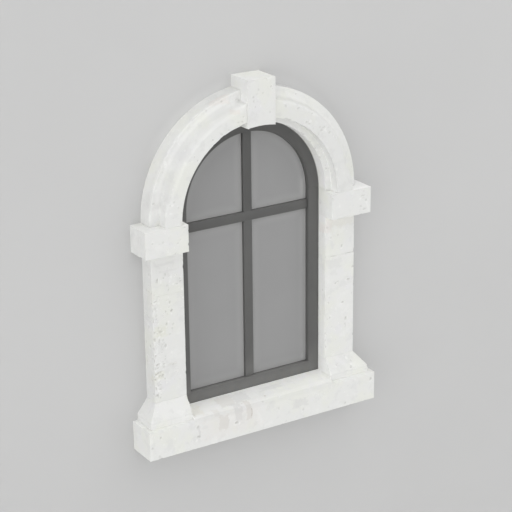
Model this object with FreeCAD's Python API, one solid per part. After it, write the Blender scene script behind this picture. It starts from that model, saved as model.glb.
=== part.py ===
import FreeCAD, Part
import math
import os
from FreeCAD import Vector

# Arched window: a stone surround that stands on the face of a wall, with a fixed metal window in it.
# X runs along the wall, +Y goes into the wall and +Z is up. The wall's face is the plane y = 0.
# The origin is the middle of the sill stone's back face. All sizes are in millimetres.

# Stone surround
opening_width = 950.0
jamb_width = 203.0
jamb_projection = 100.0
jamb_height = 889.0
jamb_joint_height = 638.0

# Sill course and the flared bases that stand on its ends
sill_height = 175.0
wash_rise = 28.0
ledge = 29.5
base_fascia = 41.0
base_flare_height = 83.0
base_spread = 65.0

# Imposts
impost_height = 157.0
impost_overhang = 67.0
impost_projection = 170.0

# Moulded arch: an inner fillet, a raised band and an outer fillet
stilt = 8.0
inner_fillet = 35.5
band_width = 105.5
band_projection = 168.0
voussoirs_per_side = 4

# Keystone
keystone_width = 180.0
keystone_projection = 175.0
keystone_rise = 61.0

# Window frame
frame_joint = 2.0
frame_face = 67.0
frame_front = 26.5
frame_depth = 70.0
frame_lip = 29.5
rebate = 15.0

# Glazing bars
bar_face = 54.5
bar_setback = 12.5
transom_drop = 92.5

# Glass and glazing beads
glass_thickness = 24.0
glass_clearance = 3.0

# Levels, from the underside of the sill up
opening_half = opening_width / 2
jamb_outer = opening_half + jamb_width
foot_outer = jamb_outer + base_spread
foot_projection = jamb_projection + base_spread
sill_half = foot_outer + ledge
sill_projection = foot_projection + ledge
sill_bottom = -sill_height / 2
sill_top = sill_bottom + sill_height
wash_top = sill_top + wash_rise
flare_bottom = sill_top + base_fascia
jamb_bottom = flare_bottom + base_flare_height
jamb_joint = jamb_bottom + jamb_joint_height
impost_bottom = jamb_bottom + jamb_height
impost_top = impost_bottom + impost_height
arch_centre = impost_top + stilt

# Radii of the arch
band_inner = opening_half + inner_fillet
band_outer = band_inner + band_width
keystone_half = keystone_width / 2
keystone_top = arch_centre + jamb_outer + keystone_rise

# Window, measured from the wall's face into the wall
frame_outer = opening_half - frame_joint
frame_inner = frame_outer - frame_face
web_inner = frame_inner + rebate
frame_back = frame_depth - frame_front
glass_front = frame_lip - frame_front
glass_back = glass_front + glass_thickness
bar_front = bar_setback - frame_front
bar_half = bar_face / 2
bar_web_half = bar_half - rebate
frame_base = wash_top
transom_axis = arch_centre - transom_drop
rail_top = frame_base + frame_face
rail_web_top = rail_top - rebate

arch_axis_point = Vector(0, 0, arch_centre)
arch_axis_turn = Vector(0, -1, 0)
right_angle = 90.0


def block(x0, x1, y0, y1, z0, z1):
    """A rectangular block between two corners."""
    return Part.makeBox(x1 - x0, y1 - y0, z1 - z0, Vector(x0, y0, z0))


def prism(points, direction):
    """A straight prism from an outline of 3-D points."""
    outline = Part.makePolygon([Vector(*p) for p in points + points[:1]])
    return Part.Face(outline).extrude(Vector(*direction))


def joined(first, second):
    """Two touching solids as one, with no seam on their shared faces."""
    return first.fuse(second).removeSplitter()


def mirrored(shape):
    """The same piece on the other side of the window's centre line."""
    return shape.mirror(Vector(0, 0, 0), Vector(1, 0, 0))


def arch_disc(radius, y0, y1):
    """A round slab about the arch's centre."""
    return Part.makeCylinder(radius, y1 - y0, Vector(0, y0, arch_centre), Vector(0, 1, 0))


# Stone pieces, drawn on the right-hand side

def sill_stone():
    body = block(-sill_half, sill_half, -sill_projection, 0, sill_bottom, sill_top)
    wash = [
        (-opening_half, 0, sill_top),
        (-opening_half, -sill_projection, sill_top),
        (-opening_half, -foot_projection, wash_top),
        (-opening_half, 0, wash_top),
    ]
    return joined(body, prism(wash, (opening_width, 0, 0)))


def level_rectangle(x1, y0, z):
    corners = [(opening_half, 0), (opening_half, y0), (x1, y0), (x1, 0), (opening_half, 0)]
    return Part.makePolygon([Vector(x, y, z) for x, y in corners])


def base_stone():
    foot = block(opening_half, foot_outer, -foot_projection, 0, sill_top, flare_bottom)
    flare = Part.makeLoft(
        [
            level_rectangle(foot_outer, -foot_projection, flare_bottom),
            level_rectangle(jamb_outer, -jamb_projection, jamb_bottom),
        ],
        True,
        True,
    )
    return joined(foot, flare)


def jamb_stone(z0, z1):
    return block(opening_half, jamb_outer, -jamb_projection, 0, z0, z1)


def impost_stone():
    outer = jamb_outer + impost_overhang
    return block(opening_half, outer, -impost_projection, 0, impost_bottom, impost_top)


def arch_section():
    """The moulding's section at the springing: fillet, raised band, fillet."""
    outline = [
        (opening_half, 0),
        (opening_half, -jamb_projection),
        (band_inner, -jamb_projection),
        (band_inner, -band_projection),
        (band_outer, -band_projection),
        (band_outer, -jamb_projection),
        (jamb_outer, -jamb_projection),
        (jamb_outer, 0),
    ]
    points = [Vector(r, y, arch_centre) for r, y in outline]
    return Part.Face(Part.makePolygon(points + points[:1]))


def voussoir(number):
    """One arch stone, counted from the springing; the last one is cut to the keystone's side."""
    middle_radius = (opening_half + jamb_outer) / 2
    key_angle = math.degrees(math.acos(keystone_half / middle_radius))
    step = key_angle / voussoirs_per_side
    start = step * (number - 1)
    last = number == voussoirs_per_side
    turn = right_angle - start if last else step
    section = arch_section()
    section.rotate(arch_axis_point, arch_axis_turn, start)
    stone = section.revolve(arch_axis_point, arch_axis_turn, turn)
    if last:
        beside_key = block(
            keystone_half, jamb_outer, -band_projection, 0, arch_centre, arch_centre + jamb_outer
        )
        stone = stone.common(beside_key)
    if number == 1:
        stone = joined(stone, arch_section().extrude(Vector(0, 0, -stilt)))
    return stone


def keystone():
    body = block(
        -keystone_half, keystone_half, -keystone_projection, 0, arch_centre, keystone_top
    )
    return body.cut(arch_disc(opening_half, -keystone_projection, 0))


# Metal window frame: a lip in front of the glass and a web beside it

def frame_section(outward, inward, place):
    """The frame's section, from its outer edge to its inner edge, as 3-D points."""
    web = inward + (rebate if outward > inward else -rebate)
    outline = [
        (outward, -frame_front),
        (inward, -frame_front),
        (inward, glass_front),
        (web, glass_front),
        (web, frame_back),
        (outward, frame_back),
    ]
    return [place(u, y) for u, y in outline]


def frame_stile():
    section = frame_section(frame_outer, frame_inner, lambda x, y: (x, y, frame_base))
    stile = prism(section, (0, 0, arch_centre - frame_base))
    mitre = [
        (frame_outer, -frame_front, frame_base),
        (frame_inner, -frame_front, frame_base),
        (frame_inner, -frame_front, rail_top),
    ]
    return stile.cut(prism(mitre, (0, frame_depth, 0)))


def frame_bottom_rail():
    section = frame_section(frame_base, rail_top, lambda z, y: (-frame_outer, y, z))
    rail = prism(section, (2 * frame_outer, 0, 0))
    mitre = [
        (frame_outer, -frame_front, frame_base),
        (frame_outer, -frame_front, rail_top),
        (frame_inner, -frame_front, rail_top),
    ]
    corner = prism(mitre, (0, frame_depth, 0))
    return rail.cut(corner).cut(mirrored(corner))


def frame_head():
    """Half of the arched head, from the springing to the crown."""
    section = frame_section(frame_outer, frame_inner, lambda x, y: (x, y, arch_centre))
    points = [Vector(*p) for p in section]
    face = Part.Face(Part.makePolygon(points + points[:1]))
    return face.revolve(arch_axis_point, arch_axis_turn, right_angle)


# Glazing bars: a wide lip in front of the glass and a narrow web between the panes

def mullion_lower():
    lip = block(-bar_half, bar_half, bar_front, glass_front, rail_top, transom_axis - bar_half)
    web_top = transom_axis - bar_web_half
    web = block(-bar_web_half, bar_web_half, glass_front, frame_back, rail_web_top, web_top)
    return joined(lip, web)


def mullion_upper():
    crown = arch_centre + web_inner
    lip_bottom = transom_axis + bar_half
    web_bottom = transom_axis + bar_web_half
    lip = block(-bar_half, bar_half, bar_front, glass_front, lip_bottom, crown)
    lip = lip.common(arch_disc(frame_inner, bar_front, glass_front))
    web = block(-bar_web_half, bar_web_half, glass_front, frame_back, web_bottom, crown)
    web = web.common(arch_disc(web_inner, glass_front, frame_back))
    return joined(lip, web)


def transom():
    low, high = transom_axis - bar_half, transom_axis + bar_half
    lip = block(-frame_inner, frame_inner, bar_front, glass_front, low, high)
    low, high = transom_axis - bar_web_half, transom_axis + bar_web_half
    web = block(-web_inner, web_inner, glass_front, frame_back, low, high)
    return joined(lip, web)


# Glass, drawn on the right-hand side

def light_below_transom(margin, y0, y1):
    """The space between the webs for a lower pane, less a margin all round."""
    return block(
        bar_web_half + margin,
        web_inner - margin,
        y0,
        y1,
        rail_web_top + margin,
        transom_axis - bar_web_half - margin,
    )


def light_above_transom(margin, y0, y1):
    """The same for an upper pane, with its top cut round by the arch."""
    left = bar_web_half + margin
    bottom = transom_axis + bar_web_half + margin
    radius = web_inner - margin
    upright = block(left, radius, y0, y1, bottom, arch_centre)
    corner = block(left, radius, y0, y1, arch_centre, arch_centre + radius)
    return joined(upright, corner.common(arch_disc(radius, y0, y1)))


def lower_pane():
    return light_below_transom(glass_clearance, glass_front, glass_back)


def upper_pane():
    return light_above_transom(glass_clearance, glass_front, glass_back)


# Glazing beads that hold the glass from the room side

def lower_beads():
    room = light_below_transom(0, glass_back, frame_back)
    clear = light_below_transom(rebate, glass_back, frame_back)
    left, right = room.BoundBox.XMin, room.BoundBox.XMax
    low, high = room.BoundBox.ZMin, room.BoundBox.ZMax
    inner_left, inner_right = clear.BoundBox.XMin, clear.BoundBox.XMax
    inner_low, inner_high = clear.BoundBox.ZMin, clear.BoundBox.ZMax
    y = (glass_back, frame_back)
    return {
        "mullion_side": block(left, inner_left, *y, low, high),
        "stile_side": block(inner_right, right, *y, low, high),
        "bottom": block(inner_left, inner_right, *y, low, inner_low),
        "top": block(inner_left, inner_right, *y, inner_high, high),
    }


def upper_beads():
    room = light_above_transom(0, glass_back, frame_back)
    clear = light_above_transom(rebate, glass_back, frame_back)
    left, right = room.BoundBox.XMin, room.BoundBox.XMax
    low, high = room.BoundBox.ZMin, room.BoundBox.ZMax
    inner_left, inner_low = clear.BoundBox.XMin, clear.BoundBox.ZMin
    y = (glass_back, frame_back)
    beside_mullion = block(left, inner_left, *y, low, high)
    along_transom = block(inner_left, right, *y, low, inner_low)
    along_head = block(inner_left, right, *y, inner_low, high)
    return {
        "mullion_side": room.common(beside_mullion),
        "bottom": along_transom,
        "head_side": room.common(along_head).cut(clear),
    }


def pair(name, shape):
    """The right-hand piece and its mirror image on the left."""
    return {name.format("right"): shape, name.format("left"): mirrored(shape)}


def all_pieces():
    pieces = {"sill_stone": sill_stone(), "keystone": keystone()}
    pieces.update(pair("base_{}", base_stone()))
    pieces.update(pair("jamb_lower_{}", jamb_stone(jamb_bottom, jamb_joint)))
    pieces.update(pair("jamb_upper_{}", jamb_stone(jamb_joint, impost_bottom)))
    pieces.update(pair("impost_{}", impost_stone()))
    for number in range(1, voussoirs_per_side + 1):
        pieces.update(pair("voussoir_{}_" + str(number), voussoir(number)))
    pieces["frame_bottom_rail"] = frame_bottom_rail()
    pieces.update(pair("frame_stile_{}", frame_stile()))
    pieces.update(pair("frame_head_{}", frame_head()))
    pieces["mullion_lower"] = mullion_lower()
    pieces["mullion_upper"] = mullion_upper()
    pieces["transom"] = transom()
    pieces.update(pair("pane_lower_{}", lower_pane()))
    pieces.update(pair("pane_upper_{}", upper_pane()))
    for edge, bead in lower_beads().items():
        pieces.update(pair("bead_lower_{}_" + edge, bead))
    for edge, bead in upper_beads().items():
        pieces.update(pair("bead_upper_{}_" + edge, bead))
    return pieces


os.makedirs("parts", exist_ok=True)
for node, shape in all_pieces().items():
    solids = shape.Solids
    solid = solids[0] if len(solids) == 1 else shape
    print(node, len(solids), round(solid.Volume), solid.isValid())
    solid.exportStep(os.path.join("parts", node + ".step"))
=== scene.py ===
# %% [markdown]
# An arched window in its stone surround.
# The CAD part gives every size: a sill, two flared bases, jambs, imposts, a moulded arch with a
# keystone, and a dark metal window. This lesson dresses it. The stones get the pits, the worn
# arrises and the cloudy colour of travertine, the metal gets paint and eased edges, and the glass
# gets its seals. Sizes are in metres, but in millimetres in the tables of pits and stains. All are
# in the frame of the CAD part: X runs along the wall, +Y goes into the wall and +Z is up.

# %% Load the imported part
import math
import random

import bpy
import numpy as np
from mathutils import Matrix, Quaternion, Vector, bvhtree, kdtree, noise


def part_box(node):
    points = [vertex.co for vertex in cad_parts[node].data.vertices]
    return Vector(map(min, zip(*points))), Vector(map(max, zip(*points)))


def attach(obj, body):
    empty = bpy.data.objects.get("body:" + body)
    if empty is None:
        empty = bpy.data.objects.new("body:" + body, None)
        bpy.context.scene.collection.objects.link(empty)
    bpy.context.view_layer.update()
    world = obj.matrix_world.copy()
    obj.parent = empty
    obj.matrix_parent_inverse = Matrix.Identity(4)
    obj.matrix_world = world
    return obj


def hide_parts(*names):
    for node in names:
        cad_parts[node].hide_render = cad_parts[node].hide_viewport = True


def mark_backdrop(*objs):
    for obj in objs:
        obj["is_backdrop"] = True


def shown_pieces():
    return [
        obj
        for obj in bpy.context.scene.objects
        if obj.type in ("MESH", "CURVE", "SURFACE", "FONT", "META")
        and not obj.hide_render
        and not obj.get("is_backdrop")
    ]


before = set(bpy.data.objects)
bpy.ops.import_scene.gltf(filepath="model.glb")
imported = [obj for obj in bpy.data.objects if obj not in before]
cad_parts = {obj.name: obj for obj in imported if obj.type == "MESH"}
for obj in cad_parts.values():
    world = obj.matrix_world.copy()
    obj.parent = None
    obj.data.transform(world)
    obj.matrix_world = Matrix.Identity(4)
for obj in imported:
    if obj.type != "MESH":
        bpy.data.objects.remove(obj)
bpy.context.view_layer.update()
print("nodes in the CAD part:", len(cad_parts))

# %% [markdown]
# The camera comes first, because every later choice is judged through it.
# The view is a long lens from the left and from above. The numbers below come from fitting one
# camera to the outlines of all the stones, so the render lies over the photograph. The camera
# could also be placed by eye, but an error of half a degree already shows at the sill.

# %% Camera at the photograph's angle
scene = bpy.context.scene
azimuth, elevation, roll = (math.radians(a) for a in (-31.888, 20.059, -0.639))
looked_at, distance = Vector((0.0605, 0.0, 0.9150)), 9.4412
focal_pixels, picture_pixels, sensor_mm = 1642.77, 512, 36.0

backwards = Vector((
    math.sin(azimuth) * math.cos(elevation),
    -math.cos(azimuth) * math.cos(elevation),
    math.sin(elevation),
))
camera = bpy.data.objects.new("camera", bpy.data.cameras.new("camera"))
scene.collection.objects.link(camera)
scene.camera = camera
camera.data.sensor_width = sensor_mm
camera.data.lens = sensor_mm * focal_pixels / picture_pixels
camera.data.clip_end = 200
camera.rotation_mode = "QUATERNION"
camera.location = looked_at + backwards * distance
camera.rotation_quaternion = (-backwards).to_track_quat("-Z", "Y") @ Quaternion((0, 0, 1), roll)
print("camera at", [round(x, 3) for x in camera.location], "lens", round(camera.data.lens, 1))

# %% [markdown]
# Materials are written as sums and products, as in a formula.
# A procedural finish is a long chain of small nodes, and linking them one by one hides the idea.
# Here a Signal is one value that changes over a surface. Adding or multiplying two of them adds
# the Math node that does it. Every other kind of node comes from a method of Finish, which holds
# the node tree of one material.

# %% Shader maths
class Signal:
    """A number that varies over the surface, with arithmetic."""

    def __init__(self, finish, socket):
        self.finish, self.socket = finish, socket

    def maths(self, operation, first, second):
        return self.finish.node("ShaderNodeMath", {"operation": operation}, {0: first, 1: second})

    def __add__(self, other):
        return self.maths("ADD", self, other)

    __radd__ = __add__

    def __mul__(self, other):
        return self.maths("MULTIPLY", self, other)

    __rmul__ = __mul__

    def __sub__(self, other):
        return self.maths("SUBTRACT", self, other)

    def __rsub__(self, other):
        return self.maths("SUBTRACT", other, self)

    def smaller(self, other):
        return self.maths("MINIMUM", self, other)

    def larger(self, other):
        return self.maths("MAXIMUM", self, other)

    def size(self):
        """The number without its sign."""
        return self.maths("ABSOLUTE", self, 0.0)

    def root(self):
        return self.maths("SQRT", self, 0.0)

    def ramp(self, low, high):
        """0 below low, 1 above high and a smooth step between; low may be the larger of the two."""
        limits = {"From Min": low, "From Max": high, "To Min": 0.0, "To Max": 1.0}
        return self.finish.node(
            "ShaderNodeMapRange", {"interpolation_type": "SMOOTHSTEP"}, {"Value": self, **limits}
        )


print("signals can be added, multiplied and ramped")

# %% The nodes of one finish
class Finish:
    """One material, or the world, and the nodes that are added to it."""

    def __init__(self, name, kept_in=bpy.data.materials, output_node="ShaderNodeOutputMaterial"):
        self.material = kept_in.new(name)
        self.material.use_nodes = True
        self.tree, self.output_node = self.material.node_tree, output_node
        self.tree.nodes.clear()
        self.position = self.node("ShaderNodeTexCoord", output="Object")

    def feed(self, socket, value):
        """Links a signal to a socket, or writes a plain value into it."""
        if isinstance(value, Signal):
            self.tree.links.new(value.socket, socket)
        else:
            socket.default_value = value

    def node(self, kind, settings=(), inputs=(), output=0):
        """Adds a node, gives it its settings, then fills its sockets with values or signals."""
        made = self.tree.nodes.new(kind)
        for name, value in dict(settings).items():
            setattr(made, name, value)
        for name, value in dict(inputs).items():
            self.feed(made.inputs[name], value)
        return Signal(self, made.outputs[output])

    def vector(self, operation, first, second):
        inputs = {0: first, ("Scale" if operation == "SCALE" else 1): second}
        return self.node("ShaderNodeVectorMath", {"operation": operation}, inputs)

    def scaled(self, vector, scale):
        return self.node("ShaderNodeMapping", {}, {"Vector": vector, "Scale": scale})

    def axis(self, vector, letter):
        return self.node("ShaderNodeSeparateXYZ", {}, {0: vector}, letter)

    def axes(self, vector, letters="XYZ"):
        return [self.axis(vector, letter) for letter in letters]

    def noise(self, per_metre, detail=2.0, roughness=0.5, at=None, output="Fac"):
        inputs = {"Vector": at or self.position, "Scale": per_metre, "Detail": detail}
        return self.node("ShaderNodeTexNoise", {}, {**inputs, "Roughness": roughness}, output)

    def colours(self, share, first, second):
        """The first colour where the share is 0 and the second where it is 1."""
        made = self.tree.nodes.new("ShaderNodeMix")
        made.data_type = "RGBA"
        # Sockets 6 and 7 of this node are its two colours, and its output 2 is the mixed one.
        for number, value in ((0, share), (6, first), (7, second)):
            self.feed(made.inputs[number], (*value, 1.0) if isinstance(value, tuple) else value)
        return Signal(self, made.outputs[2])

    def bump(self, height, metres):
        inputs = {"Strength": 1.0, "Distance": metres, "Height": height}
        return self.node("ShaderNodeBump", {}, inputs)

    def surface(self, shader):
        output = self.tree.nodes.new(self.output_node)
        self.tree.links.new(shader.socket, output.inputs["Surface"])
        return self.material

    def principled(self, **sockets):
        named = {name.replace("_", " "): value for name, value in sockets.items()}
        return self.surface(self.node("ShaderNodeBsdfPrincipled", {}, named, output="BSDF"))


print("shader helpers ready")

# %% [markdown]
# The stage is a pale wall and a pale floor.
# A window surround hangs on a wall, so the wall is what shows its depth: the soft dark edge under
# the sill is the light that the sill keeps from it. The wall is one face with a hole behind the
# opening, and it is see-through from behind, so that the back of the part can be looked at too.
# The wall is painted a little paler close above the arch: painted light that takes out the arch's
# shade there, since the real one shows no dark edge.
# The gloss of the metal and of the glass meets a darker wall and floor than the camera does. The
# floor is as pale as its bounced light needs, which would look plain white, so the camera sees it
# as a mid grey. Two materials on one wall would do the same with more to keep in step.

# %% Levels, and helpers to select with
# Levels and the half width of the opening, as they are in the CAD part
arch_centre, opening_half = 1.2655, 0.475
sill_top, sill_flat = 0.0875, 0.1155


def pick(*objects):
    """Selects these objects alone, with the first one active."""
    bpy.ops.object.select_all(action="DESELECT")
    for each in objects:
        each.select_set(True)
    bpy.context.view_layer.objects.active = objects[0]


def mode(name):
    bpy.ops.object.mode_set(mode=name)


def select_all(action="SELECT"):
    bpy.ops.mesh.select_all(action=action)


def choose(piece, kind, wanted):
    """In edit mode, selects the points or faces that a test accepts, and counts them."""
    bpy.ops.mesh.select_mode(type=kind)
    select_all("DESELECT")
    mode("OBJECT")
    count = 0
    for each in piece.data.vertices if kind == "VERT" else piece.data.polygons:
        each.select = bool(wanted(each))
        count += each.select
    mode("EDIT")
    return count


print("the sill's flat stands", round(sill_flat - sill_top, 4), "above its top")

# %% Wall and floor
def outline_curve(name, outlines):
    """A flat filled face in the XZ plane, the first outline less the others."""
    curve = bpy.data.curves.new(name, "CURVE")
    curve.dimensions, curve.fill_mode = "2D", "BOTH"
    for outline in outlines:
        spline = curve.splines.new("POLY")
        spline.points.add(len(outline) - 1)
        for point, (x, z) in zip(spline.points, outline):
            point.co = (x, z, 0, 1)
        spline.use_cyclic_u = True
    made = bpy.data.objects.new(name, curve)
    scene.collection.objects.link(made)
    return made


hole_half, hole_bottom, hole_steps = opening_half + 0.03, 0.05, 48
hole = [(-hole_half, hole_bottom), (hole_half, hole_bottom)]
for step in range(hole_steps + 1):
    turn = math.pi * step / hole_steps
    hole.append((hole_half * math.cos(turn), arch_centre + hole_half * math.sin(turn)))
wall = outline_curve("wall", [[(-8, -3), (8, -3), (8, 6), (-8, 6)], hole])
pick(wall)
bpy.ops.object.convert(target="MESH")
wall.data.transform(Matrix.Rotation(math.radians(90), 4, "X"))
wall.data.transform(Matrix.Translation((0, -0.0006, 0)))
if wall.data.polygons[0].normal.y > 0:
    wall.data.flip_normals()

bpy.ops.object.select_all(action="DESELECT")
bpy.ops.mesh.primitive_plane_add(size=40, location=(0, 0, -3))
floor = bpy.context.object
floor.name = "floor"
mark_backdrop(wall, floor)
print("wall faces:", len(wall.data.polygons))

# %% Paint of the wall and the floor
wall_grey = (0.5555, 0.5555, 0.5545)
floor_grey = (0.78, 0.78, 0.775)
floor_seen = (0.50, 0.50, 0.495)
in_mirrors = (0.16, 0.16, 0.16)


def from_arch(finish):
    """The height above the springing, at least 0, and the distance from the arch's middle line."""
    x, z = finish.axes(finish.position, "XZ")
    height = (z - arch_centre).larger(0.0)
    return height, (x * x + height * height).root()


def stage_paint(name, colour, one_sided):
    """A matt paint that mirrors see darker. A one-sided one can't be seen from behind."""
    paint = Finish(name)
    cloud = paint.noise(0.7, 2.0).ramp(0.35, 0.65)
    seen = paint.colours(cloud, colour, tuple(c * 0.985 for c in colour))
    if one_sided:
        height, radius = from_arch(paint)
        # Painted light: the wall is paler close above the arch, against the arch's shade
        painted_light_halo = radius.ramp(0.750, 0.685) * height.ramp(0.25, 0.50)
        seen = paint.vector("SCALE", seen, painted_light_halo * 0.11 + 1.0)
    mirrored = paint.node("ShaderNodeLightPath", output="Is Glossy Ray")
    seen = paint.colours(mirrored, seen, in_mirrors)
    if not one_sided:
        direct = paint.node("ShaderNodeLightPath", output="Is Camera Ray")
        seen = paint.colours(direct, seen, floor_seen)
    diffuse = paint.node("ShaderNodeBsdfDiffuse", {}, {"Color": seen}, output="BSDF")
    if not one_sided:
        return paint.surface(diffuse)
    behind = paint.node("ShaderNodeNewGeometry", output="Backfacing")
    clear = paint.node("ShaderNodeBsdfTransparent", output="BSDF")
    return paint.surface(paint.node("ShaderNodeMixShader", {}, {0: behind, 1: diffuse, 2: clear}))


wall.data.materials.append(stage_paint("pale wall", wall_grey, True))
floor.data.materials.append(stage_paint("pale floor", floor_grey, False))
print("painted:", wall.data.materials[0].name, "and", floor.data.materials[0].name)

# %% [markdown]
# The light is an even white world that swells to the left and overhead.
# The left faces of the stones are nearly as pale as their fronts and no shadow has an edge, so the
# light comes from everywhere and a little more from those two sides. Each swell is the fourth
# power of a direction, which is wide and fades to nothing. Large lamps could do the same, but they
# would show as bright squares in the gloss of the paint.

# %% Light
even, from_both_sides, from_left, from_above, lost_in_gloss = 0.952, 0.20, 1.58, 0.62, 0.55
studio = Finish("studio", bpy.data.worlds, "ShaderNodeOutputWorld")
across, up = studio.axes(studio.node("ShaderNodeTexCoord", output="Generated"), "XZ")
leftward, upward = (0.0 - across).larger(0.0), up.larger(0.0)
left_lobe, top_lobe = (side * side * side * side for side in (leftward, upward))
strength = across * across * from_both_sides + left_lobe * from_left + top_lobe * from_above + even
mirrored = studio.node("ShaderNodeLightPath", output="Is Glossy Ray")
strength = strength * (1.0 - mirrored * lost_in_gloss)
lit = {"Color": (1.0, 1.0, 1.0, 1.0), "Strength": strength}
shining = studio.node("ShaderNodeBackground", {}, lit, "Background")
seen = studio.node("ShaderNodeBackground", {}, {"Color": (*wall_grey, 1.0)}, "Background")
looking = studio.node("ShaderNodeLightPath", output="Is Camera Ray")
both = {0: looking, 1: shining, 2: seen}
scene.world = studio.surface(studio.node("ShaderNodeMixShader", {}, both))
scene.view_settings.view_transform = "Standard"
print("world nodes:", len(studio.tree.nodes))

# %% [markdown]
# Each stone starts as a copy of its CAD solid.
# The mason's cut is already exact in the CAD part, so a copy of it is the surest start. The
# copy's loose triangles are merged, the walls between arch stones that read as one are taken
# out, and a Remesh in its sharp mode then covers the stone with even squares of 4 or 5 mm. Those
# squares are what the weathering moves. A voxel remesh would round every arris alike, and a
# subdivision would leave long thin squares on long faces.

# %% Copies of the cut stones
stones = {"stone_sill": ["sill_stone"], "stone_keystone": ["keystone"]}
for side in ("left", "right"):
    stones["stone_base_" + side] = ["base_" + side]
    stones["stone_jamb_lower_" + side] = ["jamb_lower_" + side]
    stones["stone_jamb_upper_" + side] = ["jamb_upper_" + side]
    stones["stone_impost_" + side] = ["impost_" + side]
    stones["stone_arch_" + side] = [f"voussoir_{side}_{number}" for number in (1, 2, 3, 4)]


def copy_of(name, nodes):
    """One merged mesh from copies of CAD nodes, with flat faces whole and no walls inside."""
    parts = []
    for node in nodes:
        part = bpy.data.objects.new(name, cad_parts[node].data.copy())
        part.data.materials.clear()
        scene.collection.objects.link(part)
        parts.append(part)
    pick(*parts)
    if len(parts) > 1:
        bpy.ops.object.join()
    mode("EDIT")
    bpy.ops.mesh.select_mode(type="FACE")
    select_all()
    bpy.ops.mesh.remove_doubles(threshold=1e-5)
    if len(parts) > 1:
        select_all("DESELECT")
        bpy.ops.mesh.select_interior_faces()
        bpy.ops.mesh.delete(type="FACE")
    select_all()
    bpy.ops.mesh.dissolve_limited(angle_limit=math.radians(0.4))
    mode("OBJECT")
    made = parts[0]
    made.name = made.data.name = name
    return made


cut = {name: copy_of(name, nodes) for name, nodes in stones.items()}
print({name: len(stone.data.polygons) for name, stone in cut.items()})

# %% [markdown]
# Arrises wear first, but not where stones touch.
# An arris is the sharp edge between two faces. On the real surround the free arrises are a
# little soft and chipped in places, while the ones in a joint are held by the next stone. So each
# sharp edge is walked in steps of 3 mm, and a step counts as free only where no other stone and
# not the wall lies against it. The free steps go into a tree that later gives each small square
# its distance from the nearest worn edge.

# %% Find the free arrises
arris_step, sharp = 0.003, math.radians(25)
touching, wall_side = 0.0006, -0.002


def faces_of(stone):
    """A tree of the stone's faces as they were cut, for distances and looks along a line."""
    points = [corner.co for corner in stone.data.vertices]
    faces = [list(face.vertices) for face in stone.data.polygons]
    return bvhtree.BVHTree.FromPolygons(points, faces)


def free_arrises(name, stone):
    """A tree of the points along a stone's free arrises, and how many there are."""
    mesh = stone.data
    beside = {}
    for polygon in mesh.polygons:
        for key in polygon.edge_keys:
            beside.setdefault(key, []).append(polygon.normal)
    found = []
    for (first, last), normals in beside.items():
        if len(normals) != 2 or normals[0].angle(normals[1]) < sharp:
            continue
        start, end = mesh.vertices[first].co, mesh.vertices[last].co
        count = max(1, round((end - start).length / arris_step))
        for step in range(count + 1):
            point = start.lerp(end, step / count)
            if point.y > wall_side:
                continue
            near = [t.find_nearest(point)[3] for other, t in solid_of.items() if other != name]
            if min(near) > touching:
                found.append(point)
    tree = kdtree.KDTree(len(found))
    for index, point in enumerate(found):
        tree.insert(point, index)
    tree.balance()
    return tree, len(found)


solid_of = {name: faces_of(stone) for name, stone in cut.items()}
arrises = {name: free_arrises(name, stone) for name, stone in cut.items()}
print("steps along free arrises:", {name: found[1] for name, found in arrises.items()})

# %% Cover the stones with even squares
def cover(stone, square):
    """Remeshes a stone into squares of about this size, with its arrises kept."""
    longest = max(stone.dimensions)
    depth = math.ceil(math.log2(longest / (0.98 * square)))
    pick(stone)
    remesh = stone.modifiers.new("squares", "REMESH")
    remesh.mode, remesh.octree_depth = "SHARP", depth
    remesh.scale = longest / (square * 2 ** depth)
    remesh.sharpness, remesh.use_remove_disconnected = 1.0, False
    bpy.ops.object.modifier_apply(modifier=remesh.name)


for name, stone in cut.items():
    cover(stone, 0.005 if name == "stone_sill" else 0.0042)
print("squares:", {name: len(stone.data.polygons) for name, stone in cut.items()})

# %% [markdown]
# Rain has softened three edges far more than the rest.
# On the arch the step from the raised band down to its outer fillet is almost washed out away
# from its ends, the sill's nose between the bases is round, and so is the foot of each base. All
# three are wide curves, so the squares there are smoothed, which rounds an edge and fills a
# corner together. A Bevel can't do this: the squares along the edge are smaller than its radius.

# %% Soften the washed edges
def soften(stone, chosen, turns):
    """Smooths the chosen corners of a stone's squares this many times."""
    pick(stone)
    mode("EDIT")
    count = choose(stone, "VERT", lambda corner: chosen(*corner.co))
    bpy.ops.mesh.vertices_smooth(factor=0.5, repeat=turns)
    mode("OBJECT")
    return count


def near_ring(radius, reach, from_middle, from_springing):
    """Picks what lies near a ring of the arch, clear of the keystone and of the springing."""
    def chosen(x, y, z):
        off = abs(math.hypot(x, z - arch_centre) - radius)
        clear = abs(x) > from_middle and z > arch_centre + from_springing
        return y < -0.065 and off < reach and clear
    return chosen


def nose(x, y, z):
    return abs(x) < 0.462 and y < -0.115 and z > 0.045


def lip(x, y, z):
    return abs(x) < 0.764 and y < -0.174 and z > 0.066


def foot(x, y, z):
    return y < -0.130 and 0.118 < z < 0.145


step_ring, back_ring = 0.616, 0.678
washed_edges = {
    "stone_arch_left": [
        (near_ring(step_ring, 0.037, 0.106, 0.110), 200),
        (near_ring(step_ring, 0.030, 0.096, 0.060), 12),
        (near_ring(back_ring, 0.010, 0.100, 0.030), 6),
    ],
    "stone_arch_right": [
        (near_ring(step_ring, 0.036, 0.112, 0.080), 120),
        (near_ring(step_ring, 0.030, 0.096, 0.040), 14),
        (near_ring(back_ring, 0.010, 0.100, 0.030), 4),
    ],
    "stone_sill": [(nose, 70), (lip, 12)],
    "stone_base_left": [(foot, 6)],
    "stone_base_right": [(foot, 6)],
}
for name, edges in washed_edges.items():
    for chosen, turns in edges:
        print(name, "corners smoothed", turns, "times:", soften(cut[name], chosen, turns))
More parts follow.
